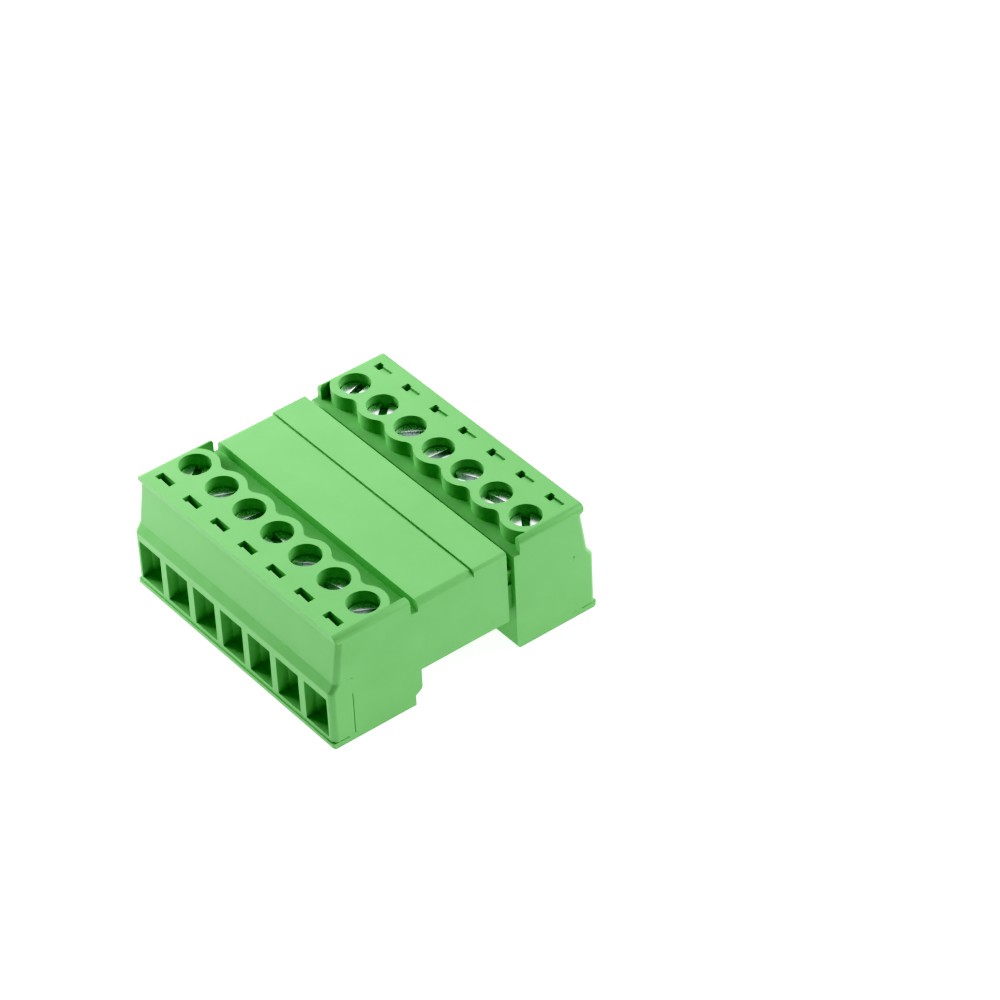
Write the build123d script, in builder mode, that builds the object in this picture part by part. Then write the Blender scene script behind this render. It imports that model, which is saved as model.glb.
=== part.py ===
# Pluggable terminal block: a seven-pole wire-to-wire pair, header half and plug half mated.
# X runs along the row of poles, Y is the mating direction and Z is up. The header half lies
# at -Y, and its pins and shroud point to +Y. The plug half is modelled like the header half,
# from its own wire side inwards, and is then mirrored to +Y.
from build123d import *
from math import atan, degrees
import os

os.makedirs("parts", exist_ok=True)

# Row of poles
pole_count = 7
pitch = 3.81
end_margin = 0.265        # what each end adds to its outer pole's half pitch
block_width = pole_count * pitch + 2 * end_margin

# Depths along Y, from the wire side inwards
tower_depth = 8.3         # wire face to the inner face of a clamp tower
end_slot = 0.7            # notch at each end, between the tower's ears and the shroud
shroud_length = 8.95
mating_gap = 0.75         # left open between the shroud's mouth and the plug's tower
block_depth = 2 * tower_depth + end_slot + shroud_length + mating_gap
wire_face = -block_depth / 2
shroud_start = tower_depth + end_slot
mouth = shroud_start + shroud_length
collar_length = 3.3       # the end of the shroud, which stands a little proud
collar_rise = 0.1
collar_groove = 0.14

# Heights
tower_height = 11.15
shroud_bottom = 3.4
shroud_drop = 0.65        # tower's top to the shroud's
valley_drop = 1.65        # tower's top to the floor between the screw domes and the shroud
ledge_drop = 1.45         # tower's top to the ledge along the plug's domes
floor_thickness = 0.5

# Outer form of a tower
top_corner_radius = 0.6
wire_corner_radius = 0.5  # upright corners, up to the top lip
lip_corner_radius = 0.2   # those of the sole lip and the top lip
collar_corner_radius = 0.3
sole_lip_height = 0.55
sole_bevel = 0.15
cover_inset = 0.1         # the cover's face stands back from the sole lip
cover_shoulder = 5.65     # where the cover's face starts to slope back
cover_top = 6.4
cover_top_inset = 0.62
wall_top_inset = 1.2
top_lip_inset = 0.95
top_lip_height = 0.6
top_lip_draft = 0.12
header_foot_height = 1.0  # sole to the step under the shroud's root
header_foot_slope = 0.45
header_foot_radius = 0.4
plug_foot_radius = 0.4

# Domes round the screws, and the ears at the row's ends
dome_radius = 2.1
dome_blend = 0.9
ear_thickness = 0.55
ear_radius = 0.3
plug_ear_setback = 0.62   # the plug's ears end this far behind its inner face

# Wire entries and the cover that holds them
entry_width = 3.0
entry_height = 3.9
entry_bottom = 1.0
entry_depth = 1.05        # straight part, before the throat
throat_width = 2.1
cover_depth = 2.1         # face to back
seam = 0.05               # visible joint between cover and housing

# Latch tongues of the cover, and the windows in the tower's top that show them
window_width = 1.85
window_depth = 0.66
window_waist = 0.6        # the slot narrows to this where it meets the key hole
window_setback = 2.05
window_shift = 0.06       # from the pole's middle to the window's
key_hole_width = 0.55     # the deep part of a window, on its -X side
key_hole_overhang = 0.1   # how much further than the slot it reaches towards the wires
key_hole_drop = 1.9
header_tongue_recess = 0.9    # a tongue's tip lies this far below the top
plug_tongue_recess = 0.15
tongue_gap = 0.05
tongue_foot = 1.3         # joins a tongue to the back of the cover

# Screws
screw_inset = 2.99        # axis to the tower's inner face
head_radius = 1.31
head_height = 1.1
head_recess = 1.1         # tower's top to the head's
head_gap = 0.09
shoulder_gap = 0.05
shoulder_thickness = 0.5
plug_screw_lift = 0.25    # the plug's screws stand turned out a little
driver_slot_width = 0.68
driver_slot_depth = 0.6
shank_radius = 1.0
shank_gap = 0.07
shank_sides = 12          # flats that stand for the thread
hole_sides = 8            # hidden holes round a shank

# Clamp cages and the bus bars that run through them
cage_width = 3.0
cage_length = 3.0
cage_wall = 0.5
cage_roof = 0.75
cage_gap = 0.07
cage_corner = 0.3         # flats across the folds of the strip
cell_gap = 0.1
bar_thickness = 0.8
bar_width = 1.8
bar_bottom = 3.85
bar_lead = 0.8            # cover's seat to the bar's end
bar_gap = 0.05
grip_depth = 0.12         # grooves across the cage's floor, which grip the wire
grip_pitch = 0.7
grip_count = 3

# Pins and the cells of the shroud that they stand in
contact_rise = 2.6        # shroud's underside to the middle of a pin and of its socket
bend_lead = 0.95          # the bar starts to rise this far before the tower's inner face
bend_length = 1.8
pin_width = 1.0
pin_recess = 1.4          # tip to the shroud's mouth
pin_point = 0.3
pin_seat_gap = 0.03
cell_wall = 0.28
shroud_floor = 0.7
shroud_roof = 0.85
cell_depth = 6.8          # mouth to the back of a cell

# Keys that narrow the top of each pin cell
key_block = 0.4           # partition's extra thickness under the roof, each side
key_bump_reach = 0.85
key_bump_drop = 1.25
key_bump_nose = 0.45
key_bump_height = 0.9
key_tab_reach = 0.97
key_tab_drop = 1.07
key_tab_height = 0.5
key_nose_cut = 0.2

# Fingers of the plug
finger_tip_gap = 0.35     # tips to the backs of the cells
finger_gap = 0.115
finger_floor_gap = 0.1
finger_root = 0.66        # solid between the slots' ends and the tower
finger_tip_chamfer = 0.3
finger_wall = 0.35
finger_tip_wall = 0.6
rib_width = 0.9
rib_height = 1.2
rib_gap = 0.3             # to the roof of the cell
rib_length = 2.1
rib_setback = 0.25
rib_radius = 0.4
side_step_depth = 0.2
side_step_length = 3.4
side_step_height = 1.1
side_step_drop = 0.45     # from the finger's top

# Spring sockets in the fingers
socket_height = 1.3
socket_gap = 0.05
riser_setback = 0.25      # riser to the tower's inner face
leaf_thickness = 0.35
leaf_contact_gap = 0.06
leaf_root_spread = 0.25   # how much wider the leaves stand at their root
leaf_tip_spread = 0.3
leaf_flare = 1.5          # from where the leaves touch the pin to their ends
leaf_end_gap = 0.55       # to the finger's end wall
socket_mouth = 1.5
socket_mouth_chamfer = 0.25

# Sizes that follow from the ones above
half_width = block_width / 2
pole_x = [(i - (pole_count - 1) / 2) * pitch for i in range(pole_count)]
lip_top_start = tower_height - top_lip_height
lip_bottom = lip_top_start - top_lip_draft
throat_taper = degrees(atan((entry_width - throat_width) / 2 / (cover_depth - entry_depth)))
shroud_top = tower_height - shroud_drop
header_valley = tower_height - valley_drop
plug_ledge = tower_height - ledge_drop
screw_setback = tower_depth - screw_inset
head_top = tower_height - head_recess
head_bottom = head_top - head_height
shoulder_top = head_bottom - shoulder_gap
cage_ceiling = shoulder_top - shoulder_thickness
bar_top = bar_bottom + bar_thickness
cage_bottom = floor_thickness + cage_gap
cage_top = bar_top + bar_gap + cage_roof
cage_cell_front = cover_inset + cover_depth + seam
cage_cell_width = cage_width + 2 * cell_gap
cage_start = screw_setback - cage_length / 2
cage_end = screw_setback + cage_length / 2
cage_cell_end = cage_end + cell_gap
bar_start = cage_cell_front + bar_lead
bend_start = tower_depth - bend_lead
bend_end = bend_start + bend_length
contact_height = shroud_bottom + contact_rise
cell_floor = shroud_bottom + shroud_floor
cell_roof = shroud_top - shroud_roof
cell_back = mouth - cell_depth
pin_cell_width = pitch - cell_wall
pin_tip = mouth - pin_recess
finger_width = pin_cell_width - 2 * finger_gap
finger_bottom = cell_floor + finger_floor_gap
finger_top = cell_roof - rib_gap - rib_height
finger_length = cell_depth + mating_gap - finger_tip_gap
finger_end = tower_depth + finger_length
finger_row_width = (pole_count - 1) * pitch + finger_width
socket_bottom = contact_height - socket_height / 2
socket_top = contact_height + socket_height / 2
riser_end = tower_depth - riser_setback
riser_start = riser_end - bar_thickness
leaf_end = finger_end - finger_tip_wall - leaf_end_gap
leaf_contact = leaf_end - leaf_flare
window_start = window_shift - window_width / 2
window_end = window_shift + window_width / 2
key_hole_end = window_start + key_hole_width
bar_middle = bar_bottom + bar_thickness / 2

# Directions of the driver slots, in degrees from +X, pole 1 first
header_slot_angles = [127, 66, 85, -5, 41, 12, 62]
plug_slot_angles = [107, 132, 55, 87, 26, 10, 144]


# Distance from the half's own wire side, as a Y
def y_at(setback):
    return wire_face + setback


# Upright plane across Y, facing the wire side
def plane_at(setback):
    return Plane.XZ.offset(-y_at(setback))


# Slabs of the wire side between heights, each with its setback below and above. Its upright
# corners are soft and follow the slopes, and all slabs end at one setback inside.
def wire_side(slabs, back):
    for bottom, top, low_setback, high_setback, corner_radius in slabs:
        plans = []
        for height, setback in ((bottom, low_setback), (top, high_setback)):
            with BuildSketch(Plane.XY.offset(height)) as plan:
                with Locations((0, y_at((setback + back) / 2))):
                    Rectangle(block_width, back - setback)
                fillet(plan.vertices().group_by(Axis.Y)[0], corner_radius)
            plans.append(plan.sketch)
        loft(plans, ruled=True)


# Tower of one half without its pockets. The inner points, as setback and height, finish the
# end view on the side away from the wires, from the top down.
def tower(inner_points, rounded_points):
    with BuildSketch(Plane.YZ) as outline:
        with BuildLine():
            Polyline(
                (y_at(cage_cell_front), 0),
                (y_at(cage_cell_front), tower_height),
                *[(y_at(setback), height) for setback, height in inner_points],
                close=True,
            )
        make_face()
        for setback, height, radius in rounded_points:
            fillet(outline.vertices().sort_by_distance((y_at(setback), height, 0))[0], radius)
    extrude(outline.sketch, amount=half_width, both=True)
    wire_side(
        [
            (0, sole_bevel, sole_bevel, 0, lip_corner_radius),
            (sole_bevel, sole_lip_height, 0, 0, lip_corner_radius),
            (sole_lip_height, cover_top, cover_top_inset, cover_top_inset, wire_corner_radius),
            (cover_top, lip_bottom, cover_top_inset, wall_top_inset, wire_corner_radius),
            (lip_bottom, lip_top_start, wall_top_inset, top_lip_inset, lip_corner_radius),
            (lip_top_start, tower_height, top_lip_inset, top_lip_inset, lip_corner_radius),
        ],
        screw_setback,
    )
    with BuildSketch(plane_at(0)) as end_view:
        with Locations((0, tower_height / 2)):
            Rectangle(block_width, tower_height)
        fillet(end_view.vertices().group_by(Axis.Y)[-1], top_corner_radius)
    extrude(end_view.sketch, amount=-block_depth, mode=Mode.INTERSECT)


# Room for the wire cover, across the whole width and up to the sloping wall
def cover_seat():
    seat_depth = cage_cell_front + cover_inset
    seat_height = cover_top - sole_lip_height
    with BuildSketch(Plane.YZ) as seat:
        with Locations((y_at(cage_cell_front - seat_depth / 2), sole_lip_height + seat_height / 2)):
            Rectangle(seat_depth, seat_height)
    extrude(seat.sketch, amount=half_width, both=True, mode=Mode.SUBTRACT)


# Cells that the clamp cages ride in. The low part is open to the cover.
def cage_cells():
    for start, top in ((cage_start - cell_gap, cage_ceiling), (cage_cell_front, cover_top)):
        with BuildSketch(plane_at(cage_cell_end)) as cells:
            with Locations(*[(x, (floor_thickness + top) / 2) for x in pole_x]):
                Rectangle(cage_cell_width, top - floor_thickness)
        extrude(cells.sketch, amount=cage_cell_end - start, mode=Mode.SUBTRACT)


# Valley between the domes round the screws and whatever lies inside them
def valley(floor_height):
    valley_depth = shroud_start - screw_setback
    with BuildSketch(Plane.XY.offset(floor_height)) as floor:
        with Locations((0, y_at(screw_setback + valley_depth / 2))):
            Rectangle(block_width - 2 * ear_thickness, valley_depth)
        with Locations(*[(x, y_at(screw_setback)) for x in pole_x]):
            Circle(dome_radius, mode=Mode.SUBTRACT)
        fillet(floor.vertices().group_by(Axis.Y)[0], dome_blend)
    extrude(floor.sketch, amount=tower_height - floor_height, mode=Mode.SUBTRACT)


# Bores for the heads, over the holes that the shanks pass through
def screw_bores():
    with BuildSketch(Plane.XY.offset(shoulder_top)) as head_bores:
        with Locations(*[(x, y_at(screw_setback)) for x in pole_x]):
            Circle(head_radius + head_gap)
    extrude(head_bores.sketch, amount=tower_height - shoulder_top, mode=Mode.SUBTRACT)
    with BuildSketch(Plane.XY.offset(cage_ceiling)) as shank_holes:
        with Locations(*[(x, y_at(screw_setback)) for x in pole_x]):
            RegularPolygon(shank_radius + shank_gap, hole_sides, major_radius=False)
    extrude(shank_holes.sketch, amount=shoulder_thickness, mode=Mode.SUBTRACT)


# Outline of a latch tongue's slot at one pole, made smaller by a gap all round
def tongue_outline(x, gap):
    back = y_at(window_setback + window_depth) - gap
    Polygon(
        (x + key_hole_end + gap, back),
        (x + key_hole_end + gap, back - window_waist + 2 * gap),
        (x + window_end - gap, back - window_depth + 2 * gap),
        (x + window_end - gap, back),
        align=None,
    )


# Windows in the top: a slot for each latch tongue, and a deep key hole beside it
def latch_windows():
    key_hole_depth = window_depth + key_hole_overhang
    with BuildSketch(Plane.XY.offset(cover_top)) as slots:
        for x in pole_x:
            tongue_outline(x, 0)
    extrude(slots.sketch, amount=tower_height - cover_top, mode=Mode.SUBTRACT)
    with BuildSketch(Plane.XY.offset(tower_height - key_hole_drop)) as key_holes:
        with Locations(*[(x + window_start, y_at(window_setback + window_depth)) for x in pole_x]):
            Rectangle(key_hole_width, key_hole_depth, align=(Align.MIN, Align.MAX))
    extrude(key_holes.sketch, amount=key_hole_drop, mode=Mode.SUBTRACT)


# Everything that both towers share
def tower_pockets(floor_height):
    cover_seat()
    cage_cells()
    valley(floor_height)
    screw_bores()
    latch_windows()


# Cover of one half: the row of wire entries, with a latch tongue over each
def wire_cover(tongue_recess):
    cover_back = cover_inset + cover_depth
    wire_side(
        [
            (sole_lip_height + seam, cover_shoulder, cover_inset, cover_inset, wire_corner_radius),
            (cover_shoulder, cover_top, cover_inset, cover_top_inset, wire_corner_radius),
        ],
        cover_back,
    )
    entry_end = cover_inset + entry_depth
    for x in pole_x:
        with BuildSketch(plane_at(entry_end)) as entry:
            with Locations((x, entry_bottom + entry_height / 2)):
                Rectangle(entry_width, entry_height)
        extrude(entry.sketch, amount=entry_end, mode=Mode.SUBTRACT)
        extrude(entry.sketch, amount=entry_end - cover_back, taper=throat_taper, mode=Mode.SUBTRACT)
    with BuildSketch(Plane.XY.offset(cover_top - tongue_foot)) as tongues:
        for x in pole_x:
            tongue_outline(x, tongue_gap)
    extrude(tongues.sketch, amount=tongue_foot + tower_height - tongue_recess - cover_top)


# Bus bar that rises to the contact's height
def bar_outline(width, thickness, end):
    with BuildSketch(Plane.YZ) as strip:
        with BuildLine():
            Polyline(
                (y_at(bar_start), bar_middle),
                (y_at(bend_start), bar_middle),
                (y_at(bend_end), contact_height),
                (y_at(end), contact_height),
            )
        trace(line_width=thickness)
    extrude(strip.sketch, amount=width / 2, both=True)


# Male pin with its bus bar. The gap makes the same form larger, for the seat in the housing.
def pin_form(gap):
    neck_end = bend_end + (bar_width - pin_width) / 2
    bar_outline(bar_width + 2 * gap, bar_thickness + 2 * gap, pin_tip)
    with BuildSketch() as plan:
        with BuildLine():
            neck = Polyline(
                (bar_width / 2 + gap, y_at(bar_start)),
                (bar_width / 2 + gap, y_at(bend_end)),
                (pin_width / 2 + gap, y_at(neck_end)),
                (pin_width / 2 + gap, y_at(pin_tip)),
                (0, y_at(pin_tip)),
            )
            Line(neck @ 1, (0, y_at(bar_start)))
            Line((0, y_at(bar_start)), neck @ 0)
        make_face()
        mirror(about=Plane.YZ)
    extrude(plan.sketch, amount=tower_height, mode=Mode.INTERSECT)


# Pin cell open to the shroud's mouth. The bump leans over on its +X side and the tab stands
# out on its -X side: between them runs the rib of the plug's finger.
def pin_cell(x):
    half_cell = pin_cell_width / 2
    bump_bottom = cell_roof - key_bump_drop
    tab_bottom = cell_roof - key_tab_drop
    with BuildSketch(plane_at(mouth)) as outline:
        with BuildLine():
            Polyline(
                (x - half_cell, cell_floor),
                (x + half_cell, cell_floor),
                (x + half_cell, bump_bottom),
                (x + half_cell - key_bump_reach, bump_bottom),
                (x + half_cell - key_bump_reach, bump_bottom + key_bump_nose),
                (x + half_cell - key_block, bump_bottom + key_bump_height),
                (x + half_cell - key_block, cell_roof),
                (x - half_cell + key_block, cell_roof),
                (x - half_cell + key_block, tab_bottom + key_tab_height),
                (x - half_cell + key_tab_reach, tab_bottom + key_tab_height),
                (x - half_cell + key_tab_reach, tab_bottom),
                (x - half_cell, tab_bottom),
                close=True,
            )
        make_face()
        for height in (bump_bottom, bump_bottom + key_bump_nose):
            nose = (x + half_cell - key_bump_reach, height, 0)
            chamfer(outline.vertices().sort_by_distance(nose)[0], key_nose_cut)
    extrude(outline.sketch, amount=mouth - cell_back, mode=Mode.SUBTRACT)


# Write one copy of a blank for each pole, mirrored to the plug's side where asked
def export_row(blank, name, mirrored):
    for number, x in enumerate(pole_x, start=1):
        with BuildPart() as piece:
            with Locations((x, 0, 0)):
                add(blank.part)
            if mirrored:
                mirror(about=Plane.XZ, mode=Mode.REPLACE)
        piece.part.label = f"{name}_{number}"
        export_step(piece.part, f"parts/{name}_{number}.step")


# Header housing: clamp tower, shroud with its collar, pin cells and pin seats
with BuildPart() as pin_seat:
    pin_form(pin_seat_gap)

with BuildPart() as header_housing:
    tower(
        [
            (tower_depth, tower_height),
            (tower_depth, header_valley),
            (shroud_start, header_valley),
            (shroud_start, header_foot_height + header_foot_slope),
            (tower_depth, header_foot_height),
            (tower_depth, 0),
        ],
        [
            (tower_depth, tower_height, ear_radius),
            (shroud_start, header_foot_height + header_foot_slope, header_foot_radius),
        ],
    )
    for start, length, rise, radius in (
        (shroud_start, shroud_length - collar_length - collar_groove, 0, top_corner_radius),
        (mouth - collar_length - collar_groove, collar_groove, -collar_groove, top_corner_radius),
        (mouth - collar_length, collar_length, collar_rise, collar_corner_radius),
    ):
        with BuildSketch(plane_at(start + length)) as section:
            shroud_height = shroud_top + rise - shroud_bottom
            with Locations((0, shroud_bottom + shroud_height / 2)):
                Rectangle(block_width, shroud_height)
            fillet(section.vertices().group_by(Axis.Y)[-1], radius)
        extrude(amount=length)
    tower_pockets(header_valley)
    for x in pole_x:
        pin_cell(x)
    with Locations(*[(x, 0, 0) for x in pole_x]):
        add(pin_seat.part, mode=Mode.SUBTRACT)
header_housing.part.label = "header_housing"
export_step(header_housing.part, "parts/header_housing.step")

with BuildPart() as header_cover:
    wire_cover(header_tongue_recess)
header_cover.part.label = "header_cover"
export_step(header_cover.part, "parts/header_cover.step")

with BuildPart() as pin_blank:
    pin_form(0)
    chamfer(pin_blank.faces().sort_by(Axis.Y)[-1].edges(), pin_point)
export_row(pin_blank, "header_pin", False)

# Plug housing: clamp tower and the row of fingers that holds the sockets
with BuildPart() as plug_housing:
    ear_end = tower_depth - plug_ear_setback
    tower(
        [
            (ear_end, tower_height),
            (ear_end, plug_ledge),
            (tower_depth, plug_ledge),
            (tower_depth, 0),
        ],
        [(ear_end, tower_height, ear_radius), (tower_depth, 0, plug_foot_radius)],
    )
    finger_height = finger_top - finger_bottom
    finger_middle = finger_bottom + finger_height / 2
    with BuildSketch(plane_at(tower_depth)):
        with Locations((0, finger_middle)):
            Rectangle(finger_row_width, finger_height)
    extrude(amount=-finger_root)
    with BuildSketch(plane_at(tower_depth)):
        with Locations(*[(x, finger_middle) for x in pole_x]):
            Rectangle(finger_width, finger_height)
    extrude(amount=-finger_length)
    finger_tips = plug_housing.faces().sort_by(Axis.Y)[-pole_count:]
    chamfer([tip.edges().sort_by(Axis.Z)[0] for tip in finger_tips], finger_tip_chamfer)
    rib_end = finger_end - rib_setback
    with BuildSketch(Plane.YZ) as rib_side:
        with Locations((y_at(rib_end - rib_length / 2), finger_top + rib_height / 2)):
            Rectangle(rib_length, rib_height)
        fillet(rib_side.vertices().sort_by_distance((y_at(rib_end), tower_height, 0))[0], rib_radius)
    for x in pole_x:
        extrude(rib_side.sketch.moved(Location((x, 0, 0))), amount=rib_width / 2, both=True)
    for side in (-1, 1):
        with BuildSketch(Plane.YZ.offset(side * finger_row_width / 2)):
            with Locations((
                y_at(tower_depth + side_step_length / 2),
                finger_top - side_step_drop - side_step_height / 2,
            )):
                Rectangle(side_step_length, side_step_height)
        extrude(amount=-side * side_step_depth, mode=Mode.SUBTRACT)
    tower_pockets(plug_ledge)
    passage_width = finger_width - 2 * finger_wall
    passage_top = socket_top + socket_gap
    for end, bottom in (
        (tower_depth - socket_gap, bar_bottom - bar_gap),
        (finger_end - finger_tip_wall, socket_bottom - socket_gap),
    ):
        with BuildSketch(plane_at(cage_cell_end)):
            with Locations(*[(x, (bottom + passage_top) / 2) for x in pole_x]):
                Rectangle(passage_width, passage_top - bottom)
        extrude(amount=cage_cell_end - end, mode=Mode.SUBTRACT)
    with BuildSketch(plane_at(finger_end)):
        with Locations(*[(x, contact_height) for x in pole_x]):
            Rectangle(socket_mouth, socket_mouth)
    extrude(amount=finger_tip_wall, mode=Mode.SUBTRACT)
    with BuildSketch(plane_at(finger_end)):
        with Locations(*[(x, contact_height) for x in pole_x]):
            Rectangle(socket_mouth + 2 * socket_mouth_chamfer, socket_mouth + 2 * socket_mouth_chamfer)
    extrude(amount=socket_mouth_chamfer, taper=45, mode=Mode.SUBTRACT)
    mirror(about=Plane.XZ, mode=Mode.REPLACE)
plug_housing.part.label = "plug_housing"
export_step(plug_housing.part, "parts/plug_housing.step")

with BuildPart() as plug_cover:
    wire_cover(plug_tongue_recess)
    mirror(about=Plane.XZ, mode=Mode.REPLACE)
plug_cover.part.label = "plug_cover"
export_step(plug_cover.part, "parts/plug_cover.step")

# Spring sockets: bus bar, riser and two leaves that grip the pin from its sides
with BuildPart() as socket_blank:
    contact = pin_width / 2 + leaf_contact_gap
    leaf_root = contact + leaf_root_spread
    with BuildSketch(Plane.YZ):
        with Locations((y_at((bar_start + riser_end) / 2), bar_middle)):
            Rectangle(riser_end - bar_start, bar_thickness)
    extrude(amount=bar_width / 2, both=True)
    with BuildSketch(Plane.YZ):
        with Locations((y_at((riser_start + riser_end) / 2), (bar_bottom + socket_top) / 2)):
            Rectangle(bar_thickness, socket_top - bar_bottom)
    extrude(amount=leaf_root + leaf_thickness, both=True)
    with BuildSketch(Plane.XY.offset(socket_bottom)):
        with BuildLine():
            Polyline(
                (leaf_root, y_at(riser_start)),
                (leaf_root, y_at(riser_end)),
                (contact, y_at(leaf_contact)),
                (contact + leaf_tip_spread, y_at(leaf_end)),
                (contact + leaf_tip_spread + leaf_thickness, y_at(leaf_end)),
                (contact + leaf_thickness, y_at(leaf_contact)),
                (leaf_root + leaf_thickness, y_at(riser_end)),
                (leaf_root + leaf_thickness, y_at(riser_start)),
                close=True,
            )
        make_face()
        mirror(about=Plane.YZ)
    extrude(amount=socket_height)
export_row(socket_blank, "plug_socket", True)

# Clamp cages: a folded strip with a thread hole in its doubled roof
with BuildPart() as cage_blank:
    inner_top = cage_top - cage_roof
    inner_bottom = cage_bottom + cage_wall
    with BuildSketch(plane_at(cage_end)) as strip:
        with Locations((0, (cage_bottom + cage_top) / 2)):
            Rectangle(cage_width, cage_top - cage_bottom)
            chamfer(strip.vertices(), cage_corner)
        with Locations((0, (inner_bottom + inner_top) / 2)):
            Rectangle(cage_width - 2 * cage_wall, inner_top - inner_bottom, mode=Mode.SUBTRACT)
    extrude(amount=cage_length)
    with BuildSketch(Plane.XY.offset(inner_top)):
        with Locations((0, y_at(screw_setback))):
            RegularPolygon(shank_radius + shank_gap, hole_sides, major_radius=False)
    extrude(amount=cage_roof, mode=Mode.SUBTRACT)
    with BuildSketch(Plane.YZ):
        with Locations((y_at(screw_setback), inner_bottom)):
            with GridLocations(grip_pitch, 1, grip_count, 1):
                RegularPolygon(grip_depth, 4)
    extrude(amount=cage_width / 2 - cage_wall, both=True, mode=Mode.SUBTRACT)
export_row(cage_blank, "header_cage", False)
export_row(cage_blank, "plug_cage", True)

# Clamp screws: a shank under a slotted head, at rest with its point just over the bus bar
with BuildPart() as screw_blank:
    with BuildSketch(Plane.XY.offset(head_bottom)):
        Circle(head_radius)
    extrude(amount=head_height)
    with BuildSketch(Plane.XY.offset(bar_top + bar_gap)):
        RegularPolygon(shank_radius, shank_sides)
    extrude(amount=head_bottom - bar_top - bar_gap)
    with BuildSketch(Plane.XY.offset(head_top - driver_slot_depth)):
        Rectangle(3 * head_radius, driver_slot_width)
    extrude(amount=driver_slot_depth, mode=Mode.SUBTRACT)

for row, row_y, lift, angles in (
    ("header", y_at(screw_setback), 0, header_slot_angles),
    ("plug", -y_at(screw_setback), plug_screw_lift, plug_slot_angles),
):
    for number, (x, angle) in enumerate(zip(pole_x, angles), start=1):
        with BuildPart() as screw:
            with Locations(Location((x, row_y, lift), (0, 0, angle))):
                add(screw_blank.part)
        screw.part.label = f"{row}_screw_{number}"
        export_step(screw.part, f"parts/{row}_screw_{number}.step")
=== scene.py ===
# Looks of the mated pluggable terminal block: moulded green housings, plated screws and clamps.
# Everything is in metres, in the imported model's own frame: +X along the poles, +Y from header to plug.
import math

import bmesh
import bpy
from mathutils import Matrix, Vector


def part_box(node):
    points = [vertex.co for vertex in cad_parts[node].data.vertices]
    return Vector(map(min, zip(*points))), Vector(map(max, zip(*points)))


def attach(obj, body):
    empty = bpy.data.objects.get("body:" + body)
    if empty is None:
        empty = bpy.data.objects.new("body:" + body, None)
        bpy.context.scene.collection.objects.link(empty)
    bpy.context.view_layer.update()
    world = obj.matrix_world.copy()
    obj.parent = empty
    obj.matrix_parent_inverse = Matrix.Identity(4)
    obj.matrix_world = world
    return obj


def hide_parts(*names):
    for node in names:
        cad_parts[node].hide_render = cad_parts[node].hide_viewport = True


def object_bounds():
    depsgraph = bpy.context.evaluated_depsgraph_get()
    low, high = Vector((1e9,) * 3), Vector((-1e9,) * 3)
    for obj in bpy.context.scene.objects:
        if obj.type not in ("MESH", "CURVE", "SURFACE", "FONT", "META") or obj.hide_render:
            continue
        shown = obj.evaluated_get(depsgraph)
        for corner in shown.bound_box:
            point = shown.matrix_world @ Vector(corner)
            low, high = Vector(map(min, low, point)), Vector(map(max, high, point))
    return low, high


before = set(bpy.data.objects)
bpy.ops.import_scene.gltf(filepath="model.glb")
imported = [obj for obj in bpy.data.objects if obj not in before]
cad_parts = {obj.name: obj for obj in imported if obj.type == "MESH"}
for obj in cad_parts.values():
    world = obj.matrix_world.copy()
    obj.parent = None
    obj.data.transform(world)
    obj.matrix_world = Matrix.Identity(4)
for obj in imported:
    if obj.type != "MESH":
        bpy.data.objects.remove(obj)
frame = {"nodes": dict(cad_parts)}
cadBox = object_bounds()
nodes = frame["nodes"]
lowest, highest = cadBox
mm = 0.001
mergeWithin = 0.001 * mm
cutWithin = 0.0001 * mm
print("frame loaded:", len(nodes), "nodes")

# What the two halves share
block = {
    "pitch": 3.81 * mm,
    "screwRow": 8.19 * mm,  # distance of both screw rows from the middle
}


# Camera, floor and light
cameraView = {
    "place": (228.54 * mm, -155.69 * mm, 235.91 * mm),
    "forward": (-0.62055, 0.46131, -0.63412),
    "up": (-0.47922, 0.41698, 0.77232),
    "lens": 158.16,
    "sensor": 36.0,
    "near": 0.01,
    "far": 10.0,
}
studio = {
    "floorSize": 4.0,
    "floorColour": (0.6, 0.6, 0.6, 1.0),
    "floorGlow": 0.8,
    # print curve, from scene light to printed light
    "contrast": (
        (0.03, 0.003), (0.06, 0.026), (0.1, 0.07), (0.15, 0.138), (0.2, 0.212), (0.3, 0.363), (0.4, 0.508),
        (0.5, 0.64), (0.7, 0.841), (0.9, 0.967),
    ),
    "tentLow": (0.01, 0.01, 0.01, 1.0),
    "tentHigh": (0.4, 0.4, 0.4, 1.0),
    "lamps": [
        # name, direction that it stands in, distance, width, height, watts
        ("backLamp", (0.2, 0.8, 0.5), 0.4, 0.3, 0.2, 1.6),
        ("leftLamp", (-0.9, -0.25, 0.35), 0.11, 0.07, 0.05, 0.15),
        ("screwLamp", (-0.62, 0.46, 0.63), 0.3, 0.2, 0.2, 0.14),
    ],
}


def makeCamera():
    data = bpy.data.cameras.new("camera")
    data.lens = cameraView["lens"]
    data.sensor_width = cameraView["sensor"]
    data.clip_start = cameraView["near"]
    data.clip_end = cameraView["far"]
    camera = bpy.data.objects.new("camera", data)
    back = -Vector(cameraView["forward"]).normalized()
    right = Vector(cameraView["up"]).cross(back).normalized()
    up = back.cross(right)
    turned = Matrix((right, up, back)).transposed().to_4x4()
    camera.matrix_world = Matrix.Translation(cameraView["place"]) @ turned
    bpy.context.scene.collection.objects.link(camera)
    bpy.context.scene.camera = camera


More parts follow.
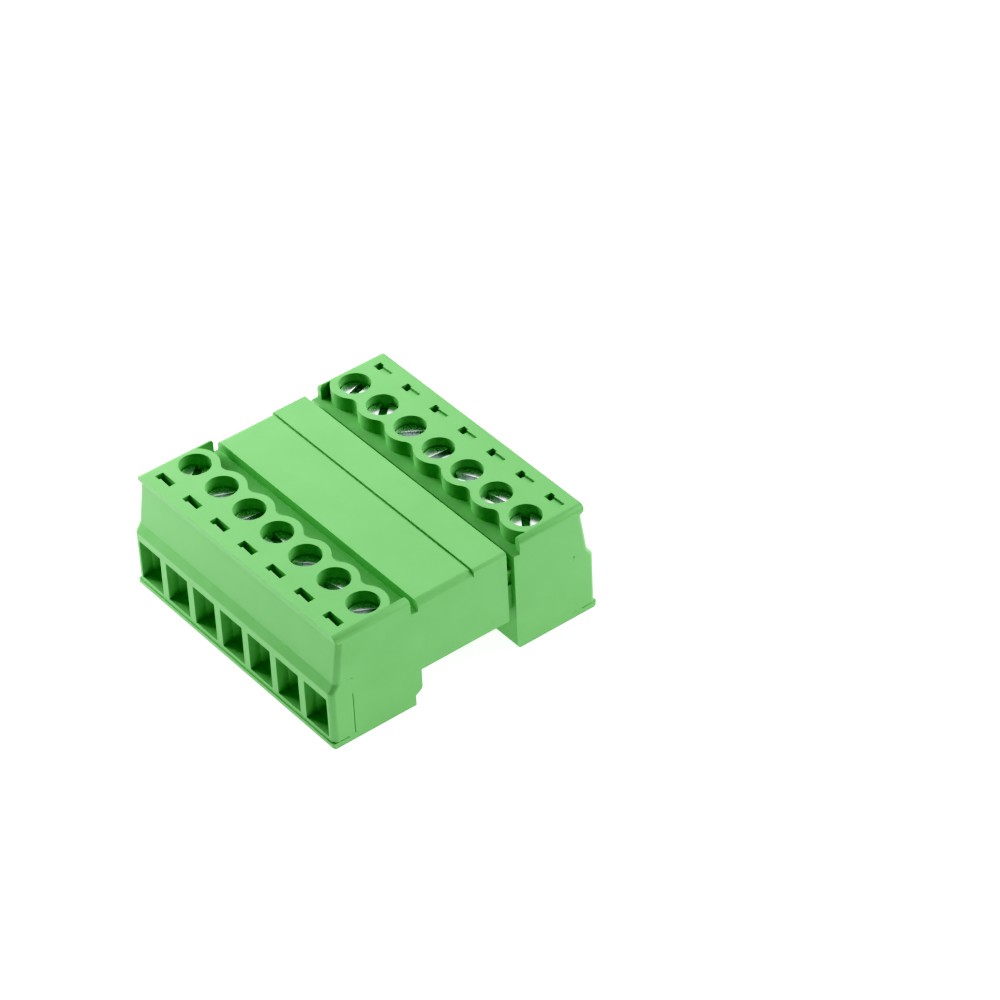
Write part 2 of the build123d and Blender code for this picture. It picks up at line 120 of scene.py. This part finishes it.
# Grey dome, nearly black at the horizon and below and brighter towards the top
def lightTent():
    world = bpy.data.worlds.new("studio")
    world.use_nodes = True
    nodes, links = world.node_tree.nodes, world.node_tree.links
    place = nodes.new("ShaderNodeTexCoord")
    height = nodes.new("ShaderNodeSeparateXYZ")
    tent = nodes.new("ShaderNodeMix")
    tent.data_type = "RGBA"
    links.new(place.outputs["Generated"], height.inputs[0])
    links.new(height.outputs["Z"], tent.inputs[0])
    tent.inputs[6].default_value = studio["tentLow"]
    tent.inputs[7].default_value = studio["tentHigh"]
    links.new(tent.outputs[2], nodes["Background"].inputs["Color"])
    bpy.context.scene.world = world


def makeStudio():
    lightTent()
    middle = (lowest + highest) / 2
    for name, direction, distance, width, height, watts in studio["lamps"]:
        data = bpy.data.lights.new(name, "AREA")
        data.shape = "RECTANGLE"
        data.size = width
        data.size_y = height
        data.energy = watts
        lamp = bpy.data.objects.new(name, data)
        direction = Vector(direction).normalized()
        lamp.location = middle + direction * distance
        lamp.rotation_mode = "QUATERNION"
        lamp.rotation_quaternion = direction.to_track_quat("Z", "Y")
        bpy.context.scene.collection.objects.link(lamp)
    bm = bmesh.new()
    bmesh.ops.create_grid(bm, x_segments=1, y_segments=1, size=studio["floorSize"] / 2)
    mesh = bpy.data.meshes.new("floor")
    bm.to_mesh(mesh)
    bm.free()
    floor = bpy.data.objects.new("floor", mesh)
    floor.data.materials.append(floorPaper())
    bpy.context.scene.collection.objects.link(floor)
    view = bpy.context.scene.view_settings
    view.view_transform = "Standard"
    view.use_curve_mapping = True
    curve = view.curve_mapping.curves[3]
    for place, height in studio["contrast"]:
        curve.points.new(place, height)
    view.curve_mapping.update()


# Shader maths as plain expressions on sockets
class Field:
    def __init__(self, finish, socket):
        self.finish = finish
        self.socket = socket

    def maths(self, operation, *values):
        return self.finish.add("Math", {"operation": operation}, dict(enumerate(values)))

    def __add__(self, other):
        return self.maths("ADD", self, other)

    def __radd__(self, other):
        return self.maths("ADD", other, self)

    def __sub__(self, other):
        return self.maths("SUBTRACT", self, other)

    def __rsub__(self, other):
        return self.maths("SUBTRACT", other, self)

    def __mul__(self, other):
        return self.maths("MULTIPLY", self, other)

    def __rmul__(self, other):
        return self.maths("MULTIPLY", other, self)

    def __truediv__(self, other):
        return self.maths("DIVIDE", self, other)

    def __rtruediv__(self, other):
        return self.maths("DIVIDE", other, self)


class Finish:
    def __init__(self, name):
        self.material = bpy.data.materials.new(name)
        self.material.use_nodes = True
        self.tree = self.material.node_tree
        self.shader = self.tree.nodes["Principled BSDF"]

    # One node: its kind, its settings, then the values or links of its sockets
    def add(self, kind, settings=None, sockets=None, output=0):
        node = self.tree.nodes.new("ShaderNode" + kind)
        for name, value in (settings or {}).items():
            setattr(node, name, value)
        for name, value in (sockets or {}).items():
            self.feed(node.inputs[name], value)
        return Field(self, node.outputs[output])

    def feed(self, socket, value):
        if isinstance(value, Field):
            self.tree.links.new(value.socket, socket)
        else:
            socket.default_value = value

    def set(self, **values):
        for name, value in values.items():
            self.feed(self.shader.inputs[name.replace("_", " ")], value)

    def noise(self, place, size, detail=2.0, roughness=0.5):
        return self.add("TexNoise", {}, {
            "Vector": place, "Scale": 1 / size, "Detail": detail, "Roughness": roughness,
        })

    def mix(self, share, first, second):
        return self.add("Mix", {"data_type": "RGBA"}, {0: share, 6: first, 7: second}, output=2)

    def spread(self, value, low, high, newLow=0.0, newHigh=1.0):
        return self.add("MapRange", {}, {
            "Value": value, "From Min": low, "From Max": high, "To Min": newLow, "To Max": newHigh,
        })

    def bump(self, height, depth):
        return self.add("Bump", {}, {"Height": height, "Distance": depth, "Strength": 1.0})


def floorPaper():
    finish = Finish("floorPaper")
    finish.set(
        Base_Color=studio["floorColour"],
        Roughness=0.9,
        Emission_Color=(1.0, 1.0, 1.0, 1.0),
        Emission_Strength=studio["floorGlow"],
    )
    return finish.material


# Moulded polyamide: satin skin with a faint grain and slightly clouded colour
green = {
    "light": (0.185, 0.455, 0.168, 1.0),
    "deep": (0.17, 0.43, 0.153, 1.0),
    "cloudSize": 3.2 * mm,
    "grainSize": 0.11 * mm,
    "grainDepth": 0.0025 * mm,
    "gloss": (0.42, 0.52),
}


def mouldedGreen():
    finish = Finish("mouldedGreen")
    place = finish.add("TexCoord", output=3)
    cloud = finish.noise(place, green["cloudSize"], 3.0)
    grain = finish.noise(place, green["grainSize"], 2.0, 0.6)
    flow = finish.spread(cloud, 0.3, 0.7)
    finish.set(
        Base_Color=finish.mix(flow, green["deep"], green["light"]),
        Roughness=finish.spread(cloud, 0.3, 0.7, *green["gloss"]),
        Normal=finish.bump(grain, green["grainDepth"]),
        Specular_IOR_Level=0.2,
    )
    return finish.material


# Plated steel, with the rings that turning leaves on a screw's head
plating = {
    "colour": (0.86, 0.88, 0.9, 1.0),
    "dull": (0.76, 0.79, 0.81, 1.0),
    "stainSize": 0.5 * mm,
    "gloss": (0.24, 0.34),
    "ringPitch": 0.07 * mm,
    "ringDepth": 0.0005 * mm,
}


def platedScrew():
    finish = Finish("platedScrew")
    place = finish.add("TexCoord", output=3)
    parts = finish.tree.nodes.new("ShaderNodeSeparateXYZ")
    finish.feed(parts.inputs[0], place)
    x, y, z = (Field(finish, socket) for socket in parts.outputs)
    poles = x / block["pitch"]
    across = x - poles.maths("ROUND", poles) * block["pitch"]
    along = y.maths("ABSOLUTE", y) - block["screwRow"]
    reach = x.maths("SQRT", across * across + along * along)
    rings = reach.maths("SINE", reach * (2 * math.pi / plating["ringPitch"]))
    stain = finish.noise(place, plating["stainSize"], 3.0)
    finish.set(
        Base_Color=finish.mix(finish.spread(stain, 0.35, 0.7), plating["colour"], plating["dull"]),
        Metallic=1.0,
        Roughness=finish.spread(stain, 0.3, 0.7, *plating["gloss"]),
        Normal=finish.bump(rings, plating["ringDepth"]),
    )
    return finish.material


# Metal inside the block: nickel plated cages, tin plated pins and sockets
innerMetal = {
    "platedCage": {
        "bright": (0.72, 0.72, 0.7, 1.0),
        "dull": (0.6, 0.6, 0.58, 1.0),
        "stainSize": 0.4 * mm,
        "stainDepth": 0.004 * mm,
        "gloss": (0.28, 0.42),
    },
    "tinnedContact": {
        "bright": (0.8, 0.79, 0.75, 1.0),
        "dull": (0.68, 0.67, 0.64, 1.0),
        "stainSize": 0.3 * mm,
        "stainDepth": 0.003 * mm,
        "gloss": (0.3, 0.5),
    },
}


def stainedMetal(name):
    metal = innerMetal[name]
    finish = Finish(name)
    place = finish.add("TexCoord", output=3)
    stain = finish.noise(place, metal["stainSize"], 3.0)
    finish.set(
        Base_Color=finish.mix(stain, metal["bright"], metal["dull"]),
        Metallic=1.0,
        Roughness=finish.spread(stain, 0.3, 0.7, *metal["gloss"]),
        Normal=finish.bump(stain, metal["stainDepth"]),
    )
    return finish.material


# Slotted clamp screws with their real thread. Each takes its place and size from the frame.
screw = {
    "slotWidth": 0.68 * mm,
    "slotDepth": 0.6 * mm,
    "headHeight": 1.1 * mm,
    "rimRound": 0.07 * mm,
    "threadPitch": 0.4 * mm,
    "threadDepth": 0.22 * mm,
    "threadRadius": 0.98 * mm,  # crests clear of the cage walls, which stand 1.0 mm from the axis
    "threadSteps": 28,  # for each turn
    "rimSteps": 84,
    "roundFrom": 40.0,  # degrees
    "threadTop": 0.9,  # how far below the head's top the thread ends, as a share of its height
    "headerSlots": (127, 66, 85, -5, 41, 12, 62),  # degrees from +X, pole 1 first
    "plugSlots": (107, 132, 55, 87, 26, 10, 144),
}


# Head as a disc at the slot's floor: its rim goes down to the head's underside, its two halves go up
def screwHead(radius, top):
    bm = bmesh.new()
    bmesh.ops.create_circle(bm, cap_ends=True, radius=radius, segments=screw["rimSteps"])
    for side in (-1, 1):
        bmesh.ops.bisect_plane(
            bm, geom=bm.verts[:] + bm.edges[:] + bm.faces[:], dist=cutWithin,
            plane_co=(0, side * screw["slotWidth"] / 2, 0), plane_no=(0, 1, 0),
        )
    halves = [face for face in bm.faces if abs(face.calc_center_median().y) > screw["slotWidth"] / 2]
    rim = [edge for edge in bm.edges if edge.is_boundary]
    skirt = bmesh.ops.extrude_edge_only(bm, edges=rim)["geom"]
    lower = [item for item in skirt if isinstance(item, bmesh.types.BMVert)]
    bmesh.ops.translate(bm, verts=lower, vec=(0, 0, screw["slotDepth"] - screw["headHeight"]))
    bmesh.ops.contextual_create(bm, geom=[edge for edge in bm.edges if edge.is_boundary])
    for half in halves:
        lifted = bmesh.ops.extrude_face_region(bm, geom=[half])["geom"]
        bmesh.ops.delete(bm, geom=[half], context="FACES_ONLY")
        upper = [item for item in lifted if isinstance(item, bmesh.types.BMVert)]
        bmesh.ops.translate(bm, verts=upper, vec=(0, 0, screw["slotDepth"]))
    bmesh.ops.recalc_face_normals(bm, faces=bm.faces)
    sharp = [edge for edge in bm.edges if edge.calc_face_angle(0) > math.radians(screw["roundFrom"])]
    bmesh.ops.bevel(
        bm, geom=sharp, affect="EDGES", offset=screw["rimRound"], offset_type="OFFSET", segments=3,
        profile=0.5, material=-1, clamp_overlap=True,
    )
    bmesh.ops.translate(bm, verts=bm.verts, vec=(0, 0, top - screw["slotDepth"]))
    return bm


# Thread as one groove section, spun upwards by its pitch for each turn and cut off flat at both ends
def screwThread(bm, bottom, top):
    pitch, steps, outer = screw["threadPitch"], screw["threadSteps"], screw["threadRadius"]
    turns = math.ceil((top - bottom) / pitch) + 2
    thread = bmesh.new()
    section = ((outer - screw["threadDepth"], 0), (outer, pitch / 2), (outer - screw["threadDepth"], pitch))
    points = [thread.verts.new((radius, 0, bottom - pitch * 1.5 + height)) for radius, height in section]
    edges = [thread.edges.new(pair) for pair in zip(points, points[1:])]
    bmesh.ops.spin(
        thread, geom=points + edges, cent=(0, 0, 0), axis=(0, 0, 1), dvec=(0, 0, pitch / steps),
        angle=2 * math.pi * turns, steps=steps * turns, use_merge=False,
    )
    bmesh.ops.remove_doubles(thread, verts=thread.verts, dist=mergeWithin)
    for height, direction in ((bottom, -1), (top, 1)):
        bmesh.ops.bisect_plane(
            thread, geom=thread.verts[:] + thread.edges[:] + thread.faces[:], dist=cutWithin,
            plane_co=(0, 0, height), plane_no=(0, 0, direction), clear_outer=True,
        )
    bmesh.ops.holes_fill(thread, edges=[edge for edge in thread.edges if edge.is_boundary], sides=0)
    bmesh.ops.recalc_face_normals(thread, faces=thread.faces)
    shank = bpy.data.meshes.new("shank")
    thread.to_mesh(shank)
    thread.free()
    bm.from_mesh(shank)
    bpy.data.meshes.remove(shank)


def makeScrew(name, slotAngle, material):
    low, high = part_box(name)
    low, high = Vector(low), Vector(high)
    middle = (low + high) / 2
    bm = screwHead((high.x - low.x) / 2, high.z)
    screwThread(bm, low.z, high.z - screw["headHeight"] * screw["threadTop"])
    turn = Matrix.Rotation(math.radians(slotAngle), 4, "Z")
    bmesh.ops.transform(bm, matrix=Matrix.Translation((middle.x, middle.y, 0)) @ turn, verts=bm.verts)
    piece = meshPiece(name + "_threaded", bm, material)
    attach(piece, name)
    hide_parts(name)


def meshPiece(name, bm, material):
    mesh = bpy.data.meshes.new(name)
    bm.to_mesh(mesh)
    bm.free()
    piece = bpy.data.objects.new(name, mesh)
    piece.data.materials.append(material)
    bpy.context.scene.collection.objects.link(piece)
    piece.data.polygons.foreach_set("use_smooth", [True] * len(piece.data.polygons))
    piece.data.set_sharp_from_angle(angle=math.radians(softEdge["sharpFrom"]))
    return piece


# Edges as a mould or a die leaves them: merged, cleaned and rounded by a few hundredths
softEdge = {"segments": 2, "sharpFrom": 28.0, "flatWithin": 0.4, "splitFrom": 18.0}
edgeWidth = {"moulded": 0.04 * mm, "stamped": 0.03 * mm, "contact": 0.04 * mm}


def soften(piece, width):
    weld = piece.modifiers.new("merge", "WELD")
    weld.merge_threshold = mergeWithin
    flat = piece.modifiers.new("flatFaces", "DECIMATE")
    flat.decimate_type = "DISSOLVE"
    flat.angle_limit = math.radians(softEdge["flatWithin"])
    edge = piece.modifiers.new("roundEdges", "BEVEL")
    edge.offset_type = "ABSOLUTE"
    edge.width = width
    edge.segments = softEdge["segments"]
    edge.limit_method = "ANGLE"
    edge.angle_limit = math.radians(softEdge["sharpFrom"])
    edge.use_clamp_overlap = False
    split = piece.modifiers.new("sharpEdges", "EDGE_SPLIT")
    split.split_angle = math.radians(softEdge["splitFrom"])
    split.use_edge_sharp = False
    shade = piece.modifiers.new("flatShading", "WEIGHTED_NORMAL")
    shade.mode = "FACE_AREA"
    shade.weight = 100
    piece.data.polygons.foreach_set("use_smooth", [True] * len(piece.data.polygons))


def dress(names, material, width):
    for name in names:
        piece = nodes[name]
        piece.data.materials.clear()
        piece.data.materials.append(material)
        soften(piece, width)


# The cover's joint as the photograph shows it: closed at the sole and beside the tower, but for a fine
# line at the header's cover. Boxes lie over the joint, flush with the skin.
joint = {
    "back": 11.275 * mm,  # distance of the upright joint from the middle
    "front": 13.4 * mm,
    "sole": 0.55 * mm,
    "top": 6.4 * mm,
    "halfWidth": 0.06 * mm,
    "flush": 0.003 * mm,
    "corner": 0.5 * mm,
    "soleLine": 1.0 * mm,  # stays open at the row's ends
    "topInset": 0.62 * mm,  # the cover's top leans in by this much
    "open": {"header": 4.8 * mm, "plug": 0.6 * mm},  # height that the upright joint stays open to
}


def closeJoints(half, material):
    side = -1 if half == "header" else 1
    across = highest.x
    wide, flush = joint["halfWidth"], joint["flush"]
    front, back, sole, top = joint["front"], joint["back"], joint["sole"], joint["top"]
    inside = front - joint["corner"]
    boxes = [(
        (joint["corner"] - across, front - 2 * wide, sole),
        (across - joint["soleLine"], front + flush, sole + 2 * wide),
    )]
    for end in (-1, 1):
        near, far = sorted((end * (across - wide), end * (across + flush)))
        boxes.append(((near, back - wide, joint["open"][half]), (far, back + wide, top + wide)))
        boxes.append(((near, back - wide, sole - wide), (far, inside - joint["soleLine"], sole + 2 * wide)))
        boxes.append(((near, back - wide, top - wide), (far, inside - joint["topInset"], top + wide)))
    bm = bmesh.new()
    for low, high in boxes:
        size = Vector(high) - Vector(low)
        middle = (Vector(high) + Vector(low)) / 2
        placed = Matrix.Translation((middle.x, side * middle.y, middle.z)) @ Matrix.Diagonal((*size, 1))
        bmesh.ops.create_cube(bm, size=1, matrix=placed)
    piece = meshPiece(half + "_joint", bm, material)
    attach(piece, half)


def named(*starts):
    return [name for name in sorted(nodes) if name.startswith(starts)]


makeCamera()
makeStudio()
print("camera and studio ready")

moulded = mouldedGreen()
dress(named("header_housing", "plug_housing", "header_cover", "plug_cover"), moulded, edgeWidth["moulded"])
for half in joint["open"]:
    closeJoints(half, moulded)
print("housings done")
screwFinish = platedScrew()
for half in ("header", "plug"):
    for number, slotAngle in enumerate(screw[half + "Slots"], start=1):
        makeScrew(f"{half}_screw_{number}", slotAngle, screwFinish)
print("screws done")
dress(named("header_cage", "plug_cage"), stainedMetal("platedCage"), edgeWidth["stamped"])
dress(named("header_pin", "plug_socket"), stainedMetal("tinnedContact"), edgeWidth["contact"])
print("metal done")
